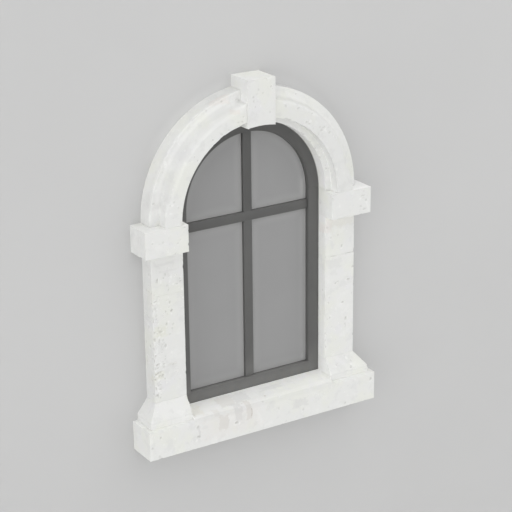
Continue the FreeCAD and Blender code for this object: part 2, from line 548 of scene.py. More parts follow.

# %% [markdown]
# The weathering is three depths added together, all of them inwards.
# First, no dressed face is truly flat, so two noises take up to 0.9 mm off it. Second, the free
# arrises lose half a millimetre everywhere and a chip of up to 5.5 mm where a coarse noise is
# high. Third come the pits, the open holes that travertine is known for: the large ones are
# placed where the photograph shows them, and a seeded scatter adds small ones between. The bed
# joint in each jamb is a shallow broken line, and the flat of the sill is worn to a fall, so that
# rain runs off to the front. Moving points in code suits this better than a brush, because the
# same stone comes out each time, and better than a Displace modifier, because a pit needs a
# place, a width and a depth.
# Three attributes keep what happened at each point, and the stone's colour reads them: the pit,
# painted darker as shade; the pale ring beside a pit, a painted highlight, together with the spots
# where chalky lime has filled one; and the wear of an arris, painted a little paler as wear and as
# a highlight.

# %% Where the photograph shows pits
# All in millimetres. Each is (x, z, half width, half height, depth) on the front face.
seen_pits = {
    "stone_jamb_upper_left": [
        (-641, 942, 7, 13, 6), (-602, 947, 5, 6, 4), (-573, 878, 4, 14, 3), (-495, 911, 6, 6, 4),
        (-520, 900, 12, 4, 2),
    ],
    "stone_jamb_lower_left": [
        (-556, 748, 8, 11, 6), (-593, 750, 6, 7, 4), (-589, 674, 7, 12, 5), (-600, 547, 6, 12, 5),
        (-656, 441, 10, 8, 6), (-566, 800, 6, 10, 3), (-657, 822, 12, 6, 4), (-668, 640, 6, 9, 4),
        (-667, 597, 6, 12, 5), (-640, 585, 5, 16, 3), (-664, 500, 7, 8, 5), (-640, 395, 12, 6, 4),
        (-624, 372, 10, 6, 5), (-665, 385, 9, 8, 5), (-670, 356, 7, 7, 5), (-612, 348, 7, 5, 3),
        (-670, 300, 6, 13, 5), (-660, 255, 9, 8, 5), (-552, 424, 10, 4, 3), (-629, 637, 14, 8, 3),
        (-642, 290, 12, 5, 3), (-672, 708, 5, 10, 4), (-673, 545, 5, 11, 4), (-671, 470, 6, 8, 5),
    ],
    "stone_jamb_upper_right": [(593, 902, 7, 11, 4)],
    "stone_jamb_lower_right": [
        (670, 757, 9, 6, 5), (550, 677, 10, 5, 4), (564, 684, 9, 4, 3), (640, 682, 12, 6, 6),
        (600, 544, 9, 6, 6), (623, 437, 9, 12, 5), (620, 395, 4, 20, 2), (510, 467, 8, 6, 4),
        (500, 560, 6, 5, 3),
    ],
    "stone_sill": [
        (-700, 42, 8, 8, 6), (-455, -17, 14, 6, 6), (745, 44, 9, 10, 7), (-205, 4, 12, 8, 5),
        (-462, 45, 7, 10, 4), (-20, 90, 10, 6, 4), (560, -66, 10, 5, 4),
    ],
    "stone_base_right": [(640, 170, 6, 8, 4), (625, 140, 10, 8, 2)],
    "stone_keystone": [
        (-54, 1907, 8, 6, 3), (-48, 1884, 4, 10, 3), (9, 1923, 4, 4, 3), (-43, 1851, 6, 6, 2),
        (34, 1996, 3, 10, 2),
    ],
    "stone_arch_right": [
        (340, 1756, 12, 5, 4), (298, 1712, 9, 6, 4), (318, 1700, 8, 5, 4), (400, 1649, 10, 6, 5),
        (455, 1628, 8, 8, 5), (412, 1664, 9, 4, 3), (448, 1660, 7, 4, 3), (163, 1824, 9, 7, 3),
        (245, 1800, 12, 6, 2), (432, 1418, 5, 8, 3), (282, 1653, 7, 5, 4), (321, 1622, 7, 6, 5),
        (372, 1568, 6, 7, 4), (402, 1525, 5, 8, 4), (435, 1468, 4, 10, 3), (478, 1395, 6, 8, 3),
    ],
    "stone_arch_left": [
        (-214, 1891, 10, 4, 3), (-119, 1888, 12, 3, 2), (-280, 1814, 10, 6, 3),
        (-647, 1387, 10, 6, 3), (-306, 1704, 7, 5, 3), (-210, 1747, 8, 4, 3), (-149, 1780, 8, 4, 3),
        (-560, 1400, 8, 5, 3), (-480, 1430, 6, 5, 2), (-252, 1731, 9, 4, 4), (-403, 1608, 6, 6, 3),
        (-122, 1778, 9, 4, 3),
    ],
    "stone_impost_right": [
        (690, 1212, 16, 4, 3), (712, 1182, 6, 7, 4), (676, 1150, 10, 4, 3), (700, 1128, 14, 5, 3),
    ],
    "stone_impost_left": [(-500, 1245, 8, 4, 3), (-700, 1190, 6, 6, 3)],
}
print("pits placed by eye:", sum(len(pits) for pits in seen_pits.values()))

# %% Pits on the faces to the side
# Each is (from where, y, z, half width, half height, depth). "left" faces are met when looking
# along +X, and "inside" is the same look from the middle of the opening.
side_pits = {
    "stone_jamb_upper_left": [
        ("left", -40, 878, 8, 5, 4), ("left", -66, 875, 8, 4, 4), ("left", -92, 871, 7, 6, 4),
        ("left", -74, 977, 6, 10, 3),
    ],
    "stone_jamb_lower_left": [
        ("left", -20, 472, 7, 9, 4), ("left", -14, 440, 5, 16, 3), ("left", -38, 289, 8, 7, 4),
        ("left", -50, 660, 6, 12, 3), ("left", -88, 812, 8, 6, 3), ("left", -70, 342, 8, 6, 3),
        ("left", -16, 561, 5, 9, 4), ("left", -32, 723, 5, 10, 3), ("left", -86, 481, 6, 10, 3),
        ("left", -82, 415, 6, 8, 3), ("left", -80, 262, 7, 7, 4), ("left", -60, 550, 6, 14, 3),
    ],
    "stone_jamb_lower_right": [
        ("inside", -96, 368.5, 10, 9, 5), ("inside", -97, 323.5, 9, 8, 5),
        ("inside", -97, 284.5, 9, 9, 5), ("inside", -70, 640, 5, 8, 3),
    ],
    "stone_impost_right": [("inside", -40, 1170, 6, 8, 3)],
}
print("pits on side faces:", sum(len(pits) for pits in side_pits.values()))

# %% Pale fillings, and fields of small pits
# Each is (x, z, half width, half height) for a spot where pale calcite has filled the stone.
seen_fillings = {
    "stone_jamb_upper_left": [
        (-618, 931, 10, 12), (-564, 926, 6, 10), (-554, 950, 6, 14), (-488, 862, 8, 12),
    ],
    "stone_jamb_lower_left": [
        (-664, 812, 14, 8), (-635, 811, 10, 7), (-668, 575, 8, 12), (-635, 444, 9, 12),
        (-650, 350, 12, 8), (-579, 684, 8, 12), (-558, 650, 7, 14), (-655, 530, 7, 16),
        (-640, 330, 8, 8), (-600, 320, 10, 7), (-622, 410, 8, 6), (-655, 275, 8, 12),
    ],
    "stone_arch_left": [
        (-178, 1850, 12, 7), (-232, 1903, 14, 6), (-593, 1475, 10, 16), (-570, 1599, 12, 16),
        (-625, 1533, 8, 16), (-569, 1381, 14, 6), (-581, 1337, 12, 6),
    ],
    "stone_arch_right": [
        (322, 1713, 12, 10), (479, 1640, 10, 8), (424, 1650, 10, 7), (157, 1842, 14, 4),
        (505, 1400, 7, 10), (430, 1640, 12, 6),
    ],
    "stone_impost_right": [(672, 1196, 10, 6), (715, 1165, 8, 8)],
    "stone_base_right": [(618, 188, 12, 8), (632, 152, 10, 6)],
    "stone_sill": [(-213, 16, 15, 6), (-186, -4, 12, 7), (-470, -35, 10, 8)],
}

# Each is (lowest x, highest x, lowest z, highest z, number) for small pits on the front faces.
pit_fields = {
    "stone_jamb_lower_left": [
        (-678, -640, 230, 840, 46), (-655, -600, 250, 560, 18), (-660, -540, 560, 840, 16),
    ],
    "stone_jamb_upper_left": [(-678, -560, 860, 1000, 8)],
    "stone_jamb_lower_right": [(480, 678, 230, 840, 9)],
    "stone_jamb_upper_right": [(480, 678, 860, 1060, 3)],
    "stone_arch_right": [(300, 480, 1600, 1780, 10), (480, 660, 1300, 1600, 3)],
    "stone_arch_left": [(-660, -480, 1300, 1560, 8), (-400, -100, 1700, 1920, 12)],
    "stone_keystone": [(-70, 60, 1800, 2000, 4)],
    "stone_sill": [(-760, 760, -80, 80, 10)],
    "stone_impost_right": [(640, 740, 1110, 1250, 5)],
    "stone_impost_left": [(-740, -480, 1110, 1250, 3)],
    "stone_base_left": [(-740, -480, 90, 210, 2)],
    "stone_base_right": [(480, 740, 90, 210, 5)],
}
print("small pits:", sum(field[-1] for fields in pit_fields.values() for field in fields))

# %% Find the points of the pits
def metres(lengths):
    return [length / 1000 for length in lengths]


def meet(tree, view, across, z):
    """The point on a stone that a look from the front, the left or inside the opening meets."""
    if view == "front":
        return tree.ray_cast(Vector((across, -1.0, z)), Vector((0, 1, 0)))[0]
    start = -1.0 if view == "left" else 0.0
    return tree.ray_cast(Vector((start, across, z)), Vector((1, 0, 0)))[0]


def pits_of(name, dice):
    """All pits of one stone as (point, half width, half height, depth, strength)."""
    strength = 1.0 if "jamb" in name or name == "stone_sill" else 0.8
    found = [("front", *metres(pit), strength) for pit in seen_pits.get(name, [])]
    found += [(view, *metres(pit), 0.9) for view, *pit in side_pits.get(name, [])]
    for *limits, number in pit_fields.get(name, []):
        low_x, high_x, low_z, high_z = metres(limits)
        for _ in range(number):
            size = dice.uniform(0.0030, 0.0060)
            place = ("front", dice.uniform(low_x, high_x), dice.uniform(low_z, high_z))
            shape = (size * dice.uniform(0.7, 1.5), size * dice.uniform(0.8, 1.9), size * 0.6)
            found.append((*place, *shape, dice.uniform(0.25, 0.8)))
    for view, across, z, *shape in found:
        point = meet(solid_of[name], view, across, z)
        if point:
            yield (point, *shape)


print("a look at the sill meets y =", round(meet(solid_of["stone_sill"], "front", 0, 0).y, 4))

# %% What each kind of wear takes off
bed_joint, frame_front, back_plane = 0.8495, -0.032, -0.001
fall_slope, fall_reach = 0.10, 0.120
# The wobble comes from noise_vector, which takes its seed from the clock unless one is set.
noise.seed_set(5)


def rubbed(name, place, shift):
    """Depth that noise and wear take off, the share of wear and painted highlight, and a wobble."""
    tree, steps_found = arrises[name]
    depth, worn_and_highlight, wobble = np.zeros(len(place)), np.zeros(len(place)), np.zeros(place.shape)
    for index, point in enumerate(map(Vector, place)):
        here = point + shift
        slow, fine = noise.noise(here * 11.0), noise.noise(here * 75.0)
        taken = 0.0004 + 0.0003 * slow + 0.00022 * fine
        wobble[index] = noise.noise_vector(here * 60.0) * 0.0045
        away = tree.find(point)[2] if steps_found else math.inf
        if away < 0.016:
            coarse = noise.noise(here * 24.0) + 0.4 * noise.noise(here * 66.0)
            chip = min(1.0, max(0.0, (coarse - 0.30) / 0.45))
            near = max(0.0, 1.0 - away / (0.004 + 0.010 * chip))
            taken += near * (0.0005 + 0.0050 * chip)
            worn_and_highlight[index] = max(0.0, 1.0 - away / 0.0055) * (0.3 + 0.6 * slow) + near * chip
        depth[index] = taken
    return depth, worn_and_highlight, wobble


def pitted(name, moved, seed):
    """The pits' depth, how deep in a pit each point is, and painted highlight rims and fillings."""
    depth, core, highlight_and_filling = np.zeros(len(moved)), np.zeros(len(moved)), np.zeros(len(moved))
    dice = random.Random(seed)
    for point, wide, tall, deep, strength in pits_of(name, dice):
        offset = (moved - point) / (wide, wide, tall)
        bowl = np.sqrt(np.maximum(0.0, 1 - (offset ** 2).sum(1)))
        core = np.maximum(core, bowl * strength)
        depth += bowl * deep * 0.8
        # Painted highlight: a pale ring on one side of each pit
        turn = dice.uniform(0, 2 * math.pi)
        sideways, upwards = 0.9 * math.cos(turn), 0.9 * math.sin(turn)
        beside = offset - (sideways, sideways, upwards)
        ring = np.maximum(0.0, 1 - (beside ** 2).sum(1) / 1.7) * (bowl < 0.2)
        highlight_and_filling = np.maximum(highlight_and_filling, ring * strength * (0.95 if "jamb" in name else 0.7))
    for x, z, wide, tall in map(metres, seen_fillings.get(name, [])):
        point = meet(solid_of[name], "front", x, z)
        if point:
            away = (((moved - point) / (wide * 0.7, wide, tall * 1.15)) ** 2).sum(1)
            highlight_and_filling = np.maximum(highlight_and_filling, np.clip(1.3 - 1.3 * away, 0, 0.5) * (core < 0.3))
    return depth, core, highlight_and_filling


def jointed(name, place, normal, shift):
    """The broken line of the bed joint in a jamb, clearer on the right."""
    broken = np.array([noise.noise(Vector(point) * 38.0 + shift) for point in place])
    line = np.clip(1 - np.abs(place[:, 2] - bed_joint) / 0.003, 0, 1)
    line *= np.clip(0.35 + broken * 1.6, 0, 1)
    return line * (1.0 if "right" in name else 0.15) * (normal[:, 1] < -0.2)


def fall(place):
    """How far the sill's raised flat sinks from the frame towards the front."""
    raised = np.clip((place[:, 2] - sill_top) / (sill_flat - sill_top), 0, 1)
    inside = np.clip((opening_half - 0.001 - np.abs(place[:, 0])) / 0.010, 0, 1)
    return np.clip(frame_front - place[:, 1], 0, fall_reach) * fall_slope * raised * inside


print("the sill's flat sinks by up to", round(fall_reach * fall_slope, 4))

# %% Weather the stones
def rows_of(values, title):
    """The numbers of a mesh's points or normals as rows of three."""
    found = np.empty(len(values) * 3, np.float32)
    values.foreach_get(title, found)
    return found.reshape(-1, 3).astype(float)


def weather(name, stone, seed):
    mesh = stone.data
    place, normal = rows_of(mesh.vertices, "co"), rows_of(mesh.vertex_normals, "vector")
    shift = Vector((seed * 3.1, seed * 1.7, seed * 2.3))
    depth, worn_and_highlight, wobble = rubbed(name, place, shift)
    pit_depth, core, highlight_and_filling = pitted(name, place + wobble, seed)
    depth += pit_depth
    if "jamb" in name:
        line = jointed(name, place, normal, shift)
        depth += line * 0.0014
        core = np.maximum(core, line * 0.8)
    depth[place[:, 1] > back_plane] = 0
    place -= normal * depth[:, None]
    if name == "stone_sill":
        place[:, 2] -= fall(place)
    mesh.vertices.foreach_set("co", place.astype(np.float32).ravel())
    for title, share in (("pit", core), ("highlight_and_filling", highlight_and_filling), ("worn_and_highlight", np.clip(worn_and_highlight, 0, 1))):
        kept = mesh.attributes.new(title, "FLOAT", "POINT")
        kept.data.foreach_set("value", share.astype(np.float32))
    mesh.update()
    pick(stone)
    bpy.ops.object.shade_smooth_by_angle(angle=math.radians(34))
    return depth.max()


for seed, (name, stone) in enumerate(cut.items()):
    deepest = weather(name, stone, seed + 1)
    print(name, "deepest mark", round(deepest * 1000, 1), "mm")

# %% [markdown]
# Travertine is pale, cloudy and full of pores.
# Its colour comes in layers: a cool white ground, slow drifts of green-yellow, lilac and grey,
# paler clouds, a few stains, then the pores, painted darker for the shade inside them, with a pale
# painted highlight on their lips. A flat colour with noise on top looks like paint, because stone
# changes colour on several scales at once. The stains sit where the photograph shows them, each a
# soft box whose edges a warped position breaks up. Small pores come from Voronoi cells, and each
# cell's own random value decides whether it holds a pore at all.

# %% Colours and stains
beige, grey, pink = (0.660, 0.650, 0.624), (0.652, 0.652, 0.642), (0.716, 0.660, 0.620)
brown, cream, straw = (0.500, 0.460, 0.420), (0.706, 0.692, 0.636), (0.700, 0.702, 0.620)
chalk_and_highlight, ground, yellow = (0.880, 0.882, 0.866), (0.740, 0.743, 0.728), (0.745, 0.754, 0.690)
lilac, ash = (0.732, 0.730, 0.749), (0.678, 0.682, 0.669)
# Painted shade in pits and pores; the second colour also darkens the streaks
pore_shade, streak_and_pore_shade = (0.42, 0.41, 0.385), (0.50, 0.49, 0.46)

# Each is (centre, reach, strength, tint), in millimetres like the pits.
stains = {
    "stone_sill": [
        ((-222, -98, 116), (58, 60, 30), 0.70, beige), ((-120, -96, 116), (52, 50, 30), 0.70, grey),
        ((-438, -120, 116), (45, 50, 30), 0.60, cream), ((100, -86, 116), (75, 20, 30), 0.60, grey),
        ((20, -158, 112), (6, 9, 8), 0.90, brown), ((-188, -195, 64), (26, 50, 56), 0.85, grey),
        ((-119, -195, 56), (18, 50, 52), 0.90, beige), ((-102, -195, 46), (3, 50, 30), 1.00, brown),
        ((-290, -195, 30), (32, 50, 44), 0.85, beige),
        ((-328, -190, 100), (20, 40, 22), 0.60, beige),
        ((-150, -186, 106), (8, 30, 5), 0.60, brown), ((-230, -195, 20), (200, 60, 75), 0.16, pink),
        ((-457, -195, 42), (9, 50, 12), 0.60, grey), ((-450, -195, 12), (8, 50, 38), 0.75, grey),
        ((235, -195, 20), (50, 40, 26), 0.60, grey), ((-800, -100, 0), (42, 400, 300), 0.25, chalk_and_highlight),
    ],
    "stone_jamb_left": [
        ((-678, -80, 835), (20, 40, 50), 0.25, cream),
        ((-678, -70, 342), (20, 40, 30), 0.25, cream),
        ((-629, -100, 640), (40, 40, 30), 0.45, straw),
        ((-645, -100, 375), (30, 40, 26), 0.55, straw),
        ((-560, -100, 424), (24, 40, 8), 0.50, beige),
        ((-590, -100, 1030), (60, 40, 8), 0.35, grey), ((-570, -100, 985), (60, 40, 6), 0.30, grey),
    ],
    "stone_jamb_right": [
        ((486, -90, 1045), (34, 60, 45), 0.35, pink),
        ((600, -100, 1060), (90, 50, 36), 0.40, cream),
        ((530, -100, 805), (60, 50, 30), 0.40, grey),
    ],
    "stone_arch_left": [
        ((-225, -110, 1900), (60, 40, 22), 0.40, pink),
        ((-165, -168, 1838), (30, 50, 12), 0.40, pink),
        ((-590, -120, 1540), (40, 50, 130), 0.35, grey),
        ((-490, -140, 1660), (50, 60, 50), 0.35, grey),
        ((-640, -80, 1400), (40, 60, 50), 0.35, grey),
    ],
}
print("stains:", {kind: len(places) for kind, places in stains.items()})

# %% Layers of the stone's colour
def clouds(stone, place, warped):
    """The white ground and its drifts, each a noise between a low and a high limit."""
    colour = ground
    for at, per_metre, detail, rough, low, high, share, tint in (
        (place, 6.0, 3.0, 0.55, 0.44, 0.66, 0.55, yellow),
        (warped, 9.0, 2.0, 0.50, 0.56, 0.72, 0.45, lilac),
        (warped, 15.0, 4.0, 0.60, 0.53, 0.66, 0.55, ash),
        (warped, 11.0, 4.0, 0.60, 0.44, 0.32, 0.20, chalk_and_highlight),
    ):
        drift = stone.noise(per_metre, detail, rough, at=at).ramp(low, high)
        colour = stone.colours(drift * share, colour, tint)
    return colour


def stained(stone, kind, colour, place, here):
    """Lays a ragged soft box of colour over each place in the table of stains."""
    ragged = (stone.noise(55.0, 3.0, 0.6, at=place) - 0.5) * 1.5
    for centre, reach, strength, tint in stains.get(kind, []):
        centre, reach = metres(centre), metres(reach)
        away = stone.vector("DIVIDE", stone.vector("SUBTRACT", here, centre), reach)
        x, y, z = stone.axes(stone.vector("ABSOLUTE", away, (0.0, 0.0, 0.0)))
        away = x.larger(y).larger(z)
        colour = stone.colours((away + ragged).ramp(1.15, 0.75) * strength, colour, tint)
    return colour


def pores(stone, place, warped, porous):
    """The share of a pore, of its pale lip and of the tiny pores, for painted shade and highlight.
    """
    field = stone.noise(8.0, 2.0, 0.5, at=place).ramp(0.60 - porous, 0.70 - porous)
    cells = {"Vector": warped, "Scale": 62.0}
    away = stone.node("ShaderNodeTexVoronoi", {}, cells, output="Distance")
    lot = stone.node("ShaderNodeTexVoronoi", {}, cells, output="Color")
    chosen = stone.axis(lot, "X").ramp(0.72, 0.90) * field
    lip = away.ramp(0.62, 0.44) * away.ramp(0.30, 0.44) * chosen
    cells = {"Vector": place, "Scale": 210.0}
    tiny = stone.node("ShaderNodeTexVoronoi", {}, cells, output="Distance").ramp(0.30, 0.12)
    tiny = tiny * stone.noise(30.0, 2.0, at=place).ramp(0.50, 0.66)
    return away.ramp(0.40, 0.16) * chosen, lip, tiny


def strokes(stone, at, scale, low, place, per_metre, start):
    """Short upright strokes, in patches only."""
    drawn = stone.noise(1.0, 3.0, 0.5, at=stone.scaled(at, scale)).ramp(low, 0.74)
    return drawn * stone.noise(per_metre, 2.0, at=place).ramp(start, start + 0.12)


print("layers ready: clouds, stains, pores and strokes")

# %% [markdown]
# A tone then sets how pale each place is, and it is painted light and shade.
# The stone is painted paler in the reveals and under the arch, on flat tops, on the outer fillet
# of the arch, on the jambs close under the imposts, at the foot of each base and where two blocks
# throw light on each other. It is painted darker on the sill's chamfer, which takes out a
# highlight, and on the left of the arch's washed step, which paints a shade. Each such place is a
# product of ramps over the position and over the way the surface faces. The numbers were found by
# comparing the same patches of the render and the photograph, so this tone stands for the
# photograph's own light. Changing the light instead would change every face at once.

# %% Tone of the stone
def tone_of(stone, top_light_share):
    """Painted light and shade that scale the colour; a high-to-low ramp fades as its value rises.
    """
    x, y, z = stone.axes(stone.position)
    facing_y, facing_z = stone.axes(stone.node("ShaderNodeTexCoord", output="Normal"), "YZ")
    half, edge_on = x.size(), facing_y.size()
    height, radius = from_arch(stone)
    on_arch, on_ends = height.ramp(0.0, 0.010), half.ramp(0.478, 0.485)

    # Painted light in the reveal and on the underside of the arch, where shade falls
    nosing = y.ramp(-0.115, -0.150) * z.ramp(0.3, 0.2)
    reveal = radius.ramp(opening_half + 0.041, opening_half + 0.034) * edge_on.ramp(0.80, 0.45)
    painted_reveal_light = reveal * z.ramp(0.085, 0.100) * (1.0 - nosing * 0.25)
    hood, back = on_arch * radius.ramp(0.513, 0.508), y.ramp(-0.108, -0.101)
    shade = painted_reveal_light * (0.26 - hood * (1.0 - back) * 0.12) + hood * back * 0.10 + 1.0

    # Painted light on flat tops, less on the back of the arch and on the sill beyond its bases
    arch_back = height.ramp(0.30, 0.40) * height.ramp(0.72, 0.70)
    painted_top_light = facing_z.ramp(0.94, 0.99) * (1.0 - painted_reveal_light) * (1.0 - arch_back)
    between = (half.ramp(0.49, 0.48) * 0.7 + 0.3) * (y.ramp(-0.150, -0.080) * 0.8 + 0.2)
    shade += painted_top_light * between.larger(z.ramp(0.2, 0.3)) * top_light_share

    # Painted light on the outer fillet of the arch; on the washed step down to it, painted shade
    # on the left and painted light on the right
    sunk = y.ramp(-0.125, -0.110) * on_arch * radius.ramp(0.612, 0.620) * edge_on.ramp(0.80, 0.95)
    shade += sunk * (x.ramp(-0.1, 0.1) * 0.055 + 0.035)
    step = radius.ramp(0.574, 0.592) * radius.ramp(0.662, 0.646)
    step = step + radius.ramp(0.655, 0.668) * edge_on.ramp(0.25, 0.50)
    step = step * edge_on.ramp(0.995, 0.82) * on_arch
    springing = height.ramp(0.16, 0.03) * x.ramp(0.0, -0.1)
    shade += step * (x.ramp(-0.22, -0.06) * 0.15 + springing * 0.065 - 0.09)

    # Painted shade on the sill's chamfer, and painted light on the jambs close under the imposts
    # and at the foot of each base
    chamfer = facing_z.ramp(-0.02, 0.28) * facing_z.ramp(0.985, 0.93) * z.ramp(0.1185, 0.1165)
    chamfer = chamfer * (half.ramp(0.50, 0.485) * 0.6 + 0.4)
    under = z.ramp(1.02, 1.09) * z.ramp(1.1015, 1.0995)
    fascia = z.ramp(0.122, 0.114) * z.ramp(0.086, 0.090) * on_ends
    crease = z.ramp(0.100, 0.090) * z.ramp(0.0860, 0.0872) * on_ends
    return shade + under * 0.12 + fascia * 0.05 + crease * 0.045 - chamfer * 0.08


print("tone ready")

# %% Travertine
def travertine(kind, title, offset, porous, tone, top_light_share=0.24):
    """One block's finish: how porous it is, its own tone, and the painted light on its tops."""
    stone = Finish(title)
    place = stone.vector("ADD", stone.position, offset)
    wander = stone.noise(14.0, 3.0, 0.6, at=place, output="Color")
    wander = stone.vector("SUBTRACT", wander, (0.5, 0.5, 0.5))
    warped = stone.vector("ADD", place, stone.vector("SCALE", wander, 0.05))
    here = stone.vector("ADD", stone.position, stone.vector("SCALE", wander, 0.030))

    colour = stained(stone, kind, clouds(stone, place, warped), place, here)
    pore, lip, tiny = pores(stone, place, warped, porous)
    carved, highlight_and_filling, worn_and_highlight = (
        stone.node("ShaderNodeAttribute", {"attribute_name": each}, output="Fac")
        for each in ("pit", "highlight_and_filling", "worn_and_highlight")
    )
    marks = strokes(stone, place, (90.0, 90.0, 34.0), 0.64, place, 7.0, 0.48)
    streaks = strokes(stone, warped, (70.0, 70.0, 26.0), 0.62, place, 9.0, 0.50)
    # Pale marks: painted highlights beside pits, on pore lips and along arrises, pale fillings,
    # strokes
    light = (highlight_and_filling * 0.95 + lip * 0.6 + marks * 0.55 + worn_and_highlight * 0.12).smaller(1.0)
    hollow = (pore * 0.7 + carved).smaller(1.0)
    colour = stone.colours(light, colour, chalk_and_highlight)
    # Painted shade in pits and pores and the dark bed joint, then tiny pores and darker streaks
    colour = stone.colours(hollow * 0.46, colour, pore_shade)
    colour = stone.colours((tiny * 0.16 + streaks * 0.16).smaller(1.0), colour, streak_and_pore_shade)
    # Painted light and shade from tone_of, times the block's own tone
    colour = stone.vector("SCALE", colour, tone_of(stone, top_light_share) * tone)
    colour = stone.vector("MINIMUM", colour, (0.96, 0.96, 0.95))

    grain = stone.noise(420.0, 2.0, 0.6)
    rough = grain * 0.10 + stone.noise(95.0, 3.0, 0.6) * 0.35 - pore - tiny * 0.35
    return stone.principled(
        Base_Color=colour,
        Roughness=0.52 + grain * 0.16 + hollow * 0.2,
        Normal=stone.bump(rough, 0.0016),
    )


# Each is (title, offset of its pattern, porous, tone, share of painted light on the tops).
kinds = {
    "stone_sill": ("travertine sill", (0.0, 0.0, 0.0), 0.00, 1.02, 0.31),
    "stone_jamb_left": ("travertine left jamb", (3.3, 0.4, 1.1), 0.08, 0.99),
    "stone_jamb_right": ("travertine right jamb", (5.4, 3.6, 6.1), 0.04, 1.015),
    "stone_base_left": ("travertine left base", (7.1, 2.0, 0.3), -0.02, 1.0),
    "stone_base_right": ("travertine right base", (2.6, 7.7, 3.9), 0.00, 0.98),
    "stone_impost_left": ("travertine left impost", (1.9, 5.2, 4.4), 0.01, 1.0, 0.11),
    "stone_impost_right": ("travertine right impost", (8.3, 0.9, 5.7), 0.01, 0.99, 0.35),
    "stone_arch_left": ("travertine left arch", (4.6, 3.1, 8.2), 0.02, 0.995),
    "stone_arch_right": ("travertine right arch", (9.2, 6.4, 1.5), 0.03, 0.958),
    "stone_keystone": ("travertine keystone", (6.2, 1.3, 2.7), 0.04, 0.985, 0.21),
}
finishes = {kind: travertine(kind, *values) for kind, values in kinds.items()}


def finish_for(name):
    """The finish all of whose words are in the stone's name, such as one for both left jambs."""
    words = set(name.split("_"))
    return next(made for kind, made in finishes.items() if set(kind.split("_")) <= words)


for name, stone in cut.items():
    stone.data.materials.append(finish_for(name))
    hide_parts(*stones[name])
    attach(stone, "root")
print("stone finishes:", len(finishes))

# %% [markdown]
# The frame and the glazing bars are painted metal with eased edges.
# Extruded or rolled profiles never end in a knife edge: a radius of about a millimetre catches a
# thin line of light all round, and it is what makes metal look like metal. A copy of each CAD
# member is merged and gets a Bevel, which is applied. The fixed CAD meshes could take the same
# modifier only after a weld, so a copy is simpler.

# %% Eased frame members and bars
metal_parts = ("frame_", "mullion_", "transom", "bead_")
bead_edge, member_edge = 0.0008, 0.0012


def eased(node):
    member = copy_of("metal_" + node, [node])
    edge = member.modifiers.new("eased edges", "BEVEL")
    edge.width = bead_edge if node.startswith("bead_") else member_edge
    edge.segments, edge.limit_method, edge.angle_limit = 2, "ANGLE", math.radians(30)
    edge.use_clamp_overlap = True
    pick(member)
    bpy.ops.object.modifier_apply(modifier=edge.name)
    bpy.ops.object.shade_smooth_by_angle(angle=math.radians(40))
    return member


members = {node: eased(node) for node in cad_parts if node.startswith(metal_parts)}
print("metal members:", len(members))

# %% [markdown]
# The paint is a dark grey with a soft gloss and some dust.
# The gloss matters most, because the stiles show the pale reveal in it and the bottom rail shows
# the sill. Dust lies on what faces up and along the foot of the frame, where rain splashes, and
# makes the gloss duller there. The paler foot is also painted light from the bright sill below, and
# the paint is painted darker towards the top of the frame. Faint specks keep long members from
# looking drawn.

# %% Dark paint
def dark_paint():
    paint = Finish("dark grey paint")
    mottle = paint.noise(5.0, 3.0).ramp(0.35, 0.65)
    speck = paint.noise(160.0, 2.0, 0.6).ramp(0.60, 0.74)
    up = paint.axis(paint.node("ShaderNodeTexCoord", output="Normal"), "Z").ramp(0.3, 0.9)
    z = paint.axis(paint.position, "Z")
    # Dust and painted light: paler towards the foot of the frame, where the bright sill lights it
    low = z.ramp(1.20, 0.90) * 0.024 + z.ramp(0.40, 0.12) * 0.13 + z.ramp(0.185, 0.150) * 0.08
    dust_and_painted_light = (up * 0.29 + low) * (0.7 + paint.noise(14.0, 3.0).ramp(0.30, 0.70) * 0.3)
    colour = paint.colours(mottle, (0.109, 0.109, 0.1065), (0.115, 0.115, 0.1125))
    # Painted darker towards the top of the frame
    colour = paint.vector("SCALE", colour, 1.0 - z.ramp(1.15, 1.35) * 0.07)
    colour = paint.colours(speck * 0.22, colour, (0.15, 0.15, 0.145))
    colour = paint.colours(dust_and_painted_light, colour, (0.34, 0.337, 0.325))
    return paint.principled(
        Base_Color=colour,
        Roughness=0.29 + mottle * 0.03 + speck * 0.08 + dust_and_painted_light * 0.5,
        Normal=paint.bump(paint.noise(520.0, 2.0), 0.0002),
    )


paint_finish = dark_paint()
for node, member in members.items():
    member.data.materials.append(paint_finish)
    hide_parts(node)
    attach(member, "root")
print("painted:", paint_finish.name)

# %% [markdown]
# The panes keep their CAD solids and get a grey, faintly mirroring glass.
# In the photograph each pane is an even grey that also mirrors the impost beside it, so the
# glass has a body colour and a clean gloss. Clear glass would show the empty space behind the
# wall, which the photograph doesn't. Its index of refraction is set high, as a coated pane
# mirrors more than a plain one. A pale film along the edges is dust and painted light, which takes
# out the shade of the bars and the frame there, so its share comes from the distance to the
# nearest bar or frame, and a few dried streaks run down.

# %% Glass
clear_half = 0.406
rail_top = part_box("frame_bottom_rail")[1][2]
transom_low, transom_high = (corner[2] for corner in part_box("transom"))
transom_middle, bar_half = (transom_low + transom_high) / 2, (transom_high - transom_low) / 2
print("levels of rail top and transom:", round(rail_top, 4), round(transom_middle, 4))
print("half a bar:", round(bar_half, 4))


